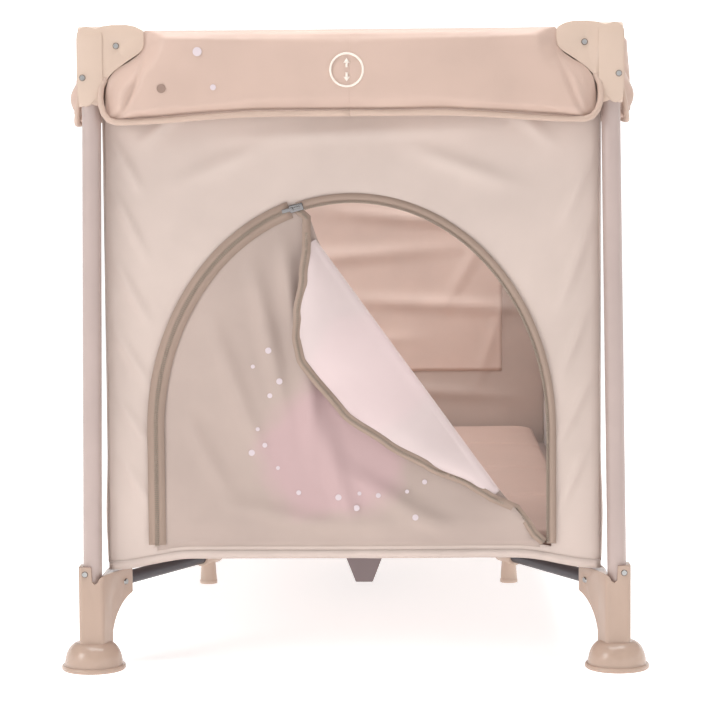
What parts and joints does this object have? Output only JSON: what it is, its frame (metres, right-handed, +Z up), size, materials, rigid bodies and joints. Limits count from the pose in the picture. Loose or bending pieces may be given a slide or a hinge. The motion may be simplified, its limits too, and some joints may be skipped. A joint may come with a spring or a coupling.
{
  "type": "playpen",
  "caption": "Folding fabric playpen with corner posts, padded top rails that unlock and fold, an X base that lifts at its hub, and a zipped arch door in one end.",
  "frame": {"origin": "centre of the footprint, on the floor", "axes": "+X to the right seen from the door end, +Y along the pen away from the door end, +Z up"},
  "size_m": [0.6886, 1.245, 0.75],
  "materials": {
    "painted_tube": "satin powder coat",
    "beige_plastic": "satin moulded",
    "bright_metal": "bright nickel",
    "grey_tube": "satin powder coat",
    "grey_plastic": "fine texture",
    "taupe_plastic": "fine texture",
    "button_plastic": "satin moulded",
    "rail_fabric": "satin weave, quilted",
    "wall_fabric": "satin weave",
    "pocket_fabric": "satin weave",
    "mesh": "open knit",
    "mattress_fabric": "plain weave",
    "floor_fabric": "coated weave",
    "lining_fabric": "satin weave",
    "zip": "woven tape",
    "webbing": "woven webbing"
  },
  "bodies": {
    "corner_front_left": {"post_front_left": "painted_tube", "casting_front_left": "beige_plastic", "foot_front_left": "beige_plastic", "rivets_front_left": "bright_metal", "wall_front": "wall_fabric", "pad_front": "rail_fabric", "door_flap": "lining_fabric", "zip_tape": "zip"},
    "corner_front_right": {"post_front_right": "painted_tube", "casting_front_right": "beige_plastic", "foot_front_right": "beige_plastic", "rivets_front_right": "bright_metal", "wall_right": "wall_fabric", "mesh_right": "mesh", "pad_right": "rail_fabric"},
    "corner_rear_left": {"post_rear_left": "painted_tube", "casting_rear_left": "beige_plastic", "foot_rear_left": "beige_plastic", "rivets_rear_left": "bright_metal", "wall_left": "wall_fabric", "mesh_left": "mesh", "pad_left": "rail_fabric"},
    "corner_rear_right": {"post_rear_right": "painted_tube", "casting_rear_right": "beige_plastic", "foot_rear_right": "beige_plastic", "rivets_rear_right": "bright_metal", "wall_rear": "wall_fabric", "pad_rear": "rail_fabric", "rear_pocket": "pocket_fabric"},
    "base_front_left": {"base_tube_front_left": "grey_tube", "mid_leg_front_left": "beige_plastic"},
    "base_front_right": {"base_tube_front_right": "grey_tube", "mid_leg_front_right": "beige_plastic"},
    "base_rear_left": {"base_tube_rear_left": "grey_tube", "mid_leg_rear_left": "beige_plastic"},
    "base_rear_right": {"base_tube_rear_right": "grey_tube", "mid_leg_rear_right": "beige_plastic"},
    "hub": {"hub_body": "grey_plastic", "hub_rivets": "bright_metal", "hub_foot": "taupe_plastic", "pull_strap": "webbing", "tub_floor": "floor_fabric", "mattress": "mattress_fabric"},
    "rail_front_left": {"rail_front_left": "painted_tube"},
    "rail_front_right": {"rail_front_right": "painted_tube"},
    "rail_rear_left": {"rail_rear_left": "painted_tube"},
    "rail_rear_right": {"rail_rear_right": "painted_tube"},
    "rail_left_front": {"rail_left_front": "painted_tube"},
    "rail_left_rear": {"rail_left_rear": "painted_tube"},
    "rail_right_front": {"rail_right_front": "painted_tube"},
    "rail_right_rear": {"rail_right_rear": "painted_tube"},
    "lock_front": {"lock_front": "grey_plastic"},
    "button_front": {"button_front": "button_plastic"},
    "lock_rear": {"lock_rear": "grey_plastic"},
    "button_rear": {"button_rear": "button_plastic"},
    "lock_left": {"lock_left": "grey_plastic"},
    "button_left": {"button_left": "button_plastic"},
    "lock_right": {"lock_right": "grey_plastic"},
    "button_right": {"button_right": "button_plastic"},
    "zip_slider": {"zip_slider": "bright_metal"}
  },
  "joints": [
    {"name": "fold", "type": "hinge", "parent": "corner_rear_left", "child": "base_rear_left", "pos_m": [-0.28449, 0.54249, 0.097], "axis": [-0.8856, -0.4644, 0], "range_deg": [0, 84], "deforming": ["wall_front", "wall_rear", "wall_left", "wall_right", "mesh_left", "mesh_right", "pad_front", "pad_rear", "pad_left", "pad_right", "tub_floor", "mattress", "door_flap", "zip_tape", "zip_slider", "rear_pocket"]},
    {"name": "hub_rear_left", "type": "hinge", "parent": "base_rear_left", "child": "hub", "pos_m": [-0.02787, 0.05314, 0.097], "axis": [0.8856, 0.4644, 0], "range_deg": [0, 84]},
    {"name": "hub_front_left", "type": "hinge", "parent": "hub", "child": "base_front_left", "pos_m": [-0.02787, -0.05314, 0.097], "axis": [0.8856, -0.4644, 0], "range_deg": [0, 84]},
    {"name": "foot_front_left", "type": "hinge", "parent": "base_front_left", "child": "corner_front_left", "pos_m": [-0.28449, -0.54249, 0.097], "axis": [-0.8856, 0.4644, 0], "range_deg": [0, 84]},
    {"name": "hub_front_right", "type": "hinge", "parent": "hub", "child": "base_front_right", "pos_m": [0.02787, -0.05314, 0.097], "axis": [0.8856, 0.4644, 0], "range_deg": [0, 84]},
    {"name": "foot_front_right", "type": "hinge", "parent": "base_front_right", "child": "corner_front_right", "pos_m": [0.28449, -0.54249, 0.097], "axis": [-0.8856, -0.4644, 0], "range_deg": [0, 84]},
    {"name": "hub_rear_right", "type": "hinge", "parent": "hub", "child": "base_rear_right", "pos_m": [0.02787, 0.05314, 0.097], "axis": [-0.8856, 0.4644, 0], "range_deg": [0, 84]},
    {"name": "foot_rear_right", "type": "hinge", "parent": "base_rear_right", "child": "corner_rear_right", "pos_m": [0.28449, 0.54249, 0.097], "axis": [0.8856, -0.4644, 0], "range_deg": [0, 84]},
    {"name": "rail_front_left", "type": "hinge", "parent": "corner_front_left", "child": "rail_front_left", "pos_m": [-0.268, -0.585, 0.726], "axis": [0, 1, 0], "range_deg": [0, 84]},
    {"name": "rail_front_right", "type": "hinge", "parent": "corner_front_right", "child": "rail_front_right", "pos_m": [0.268, -0.585, 0.726], "axis": [0, -1, 0], "range_deg": [0, 84]},
    {"name": "rail_rear_left", "type": "hinge", "parent": "corner_rear_left", "child": "rail_rear_left", "pos_m": [-0.268, 0.585, 0.726], "axis": [0, 1, 0], "range_deg": [0, 84]},
    {"name": "rail_rear_right", "type": "hinge", "parent": "corner_rear_right", "child": "rail_rear_right", "pos_m": [0.268, 0.585, 0.726], "axis": [0, -1, 0], "range_deg": [0, 84]},
    {"name": "rail_left_front", "type": "hinge", "parent": "corner_front_left", "child": "rail_left_front", "pos_m": [-0.298, -0.555, 0.726], "axis": [-1, 0, 0], "range_deg": [0, 84]},
    {"name": "rail_left_rear", "type": "hinge", "parent": "corner_rear_left", "child": "rail_left_rear", "pos_m": [-0.298, 0.555, 0.726], "axis": [1, 0, 0], "range_deg": [0, 84]},
    {"name": "rail_right_front", "type": "hinge", "parent": "corner_front_right", "child": "rail_right_front", "pos_m": [0.298, -0.555, 0.726], "axis": [-1, 0, 0], "range_deg": [0, 84]},
    {"name": "rail_right_rear", "type": "hinge", "parent": "corner_rear_right", "child": "rail_right_rear", "pos_m": [0.298, 0.555, 0.726], "axis": [1, 0, 0], "range_deg": [0, 84]},
    {"name": "lock_front", "type": "hinge", "parent": "rail_front_left", "child": "lock_front", "pos_m": [-0.01138, -0.585, 0.726], "axis": [0, -1, 0], "range_deg": [0, 84]},
    {"name": "lock_rear", "type": "hinge", "parent": "rail_rear_right", "child": "lock_rear", "pos_m": [0.01138, 0.585, 0.726], "axis": [0, 1, 0], "range_deg": [0, 84]},
    {"name": "lock_left", "type": "hinge", "parent": "rail_left_rear", "child": "lock_left", "pos_m": [-0.298, 0.06565, 0.726], "axis": [-1, 0, 0], "range_deg": [0, 84]},
    {"name": "lock_right", "type": "hinge", "parent": "rail_right_front", "child": "lock_right", "pos_m": [0.298, -0.06565, 0.726], "axis": [1, 0, 0], "range_deg": [0, 84]},
    {"name": "press_front", "type": "slide", "parent": "lock_front", "child": "button_front", "axis": [0, 1, 0], "range_m": [0, 0.0035], "stiffness_N_per_m": 400, "springref_m": -0.003},
    {"name": "press_rear", "type": "slide", "parent": "lock_rear", "child": "button_rear", "axis": [0, -1, 0], "range_m": [0, 0.0035], "stiffness_N_per_m": 400, "springref_m": -0.003},
    {"name": "press_left", "type": "slide", "parent": "lock_left", "child": "button_left", "axis": [1, 0, 0], "range_m": [0, 0.0035], "stiffness_N_per_m": 400, "springref_m": -0.003},
    {"name": "press_right", "type": "slide", "parent": "lock_right", "child": "button_right", "axis": [-1, 0, 0], "range_m": [0, 0.0035], "stiffness_N_per_m": 400, "springref_m": -0.003},
    {"name": "zip_run", "type": "hinge", "parent": "corner_front_left", "child": "zip_slider", "pos_m": [0, -0.5755, 0.352], "axis": [0, 1, 0], "range_deg": [-20, 0]}
  ],
  "couplings": [
    {"joint": "hub_rear_left", "follows": "fold", "ratio": 1},
    {"joint": "hub_front_left", "follows": "fold", "ratio": 1},
    {"joint": "foot_front_left", "follows": "fold", "ratio": 1},
    {"joint": "hub_front_right", "follows": "fold", "ratio": 1},
    {"joint": "foot_front_right", "follows": "fold", "ratio": 1},
    {"joint": "hub_rear_right", "follows": "fold", "ratio": 1},
    {"joint": "foot_rear_right", "follows": "fold", "ratio": 1},
    {"joint": "rail_front_left", "follows": "fold", "ratio": 1},
    {"joint": "rail_front_right", "follows": "fold", "ratio": 1},
    {"joint": "rail_rear_left", "follows": "fold", "ratio": 1},
    {"joint": "rail_rear_right", "follows": "fold", "ratio": 1},
    {"joint": "rail_left_front", "follows": "fold", "ratio": 1},
    {"joint": "rail_left_rear", "follows": "fold", "ratio": 1},
    {"joint": "rail_right_front", "follows": "fold", "ratio": 1},
    {"joint": "rail_right_rear", "follows": "fold", "ratio": 1},
    {"joint": "lock_front", "follows": "fold", "ratio": 1},
    {"joint": "lock_rear", "follows": "fold", "ratio": 1},
    {"joint": "lock_left", "follows": "fold", "ratio": 1},
    {"joint": "lock_right", "follows": "fold", "ratio": 1}
  ]
}
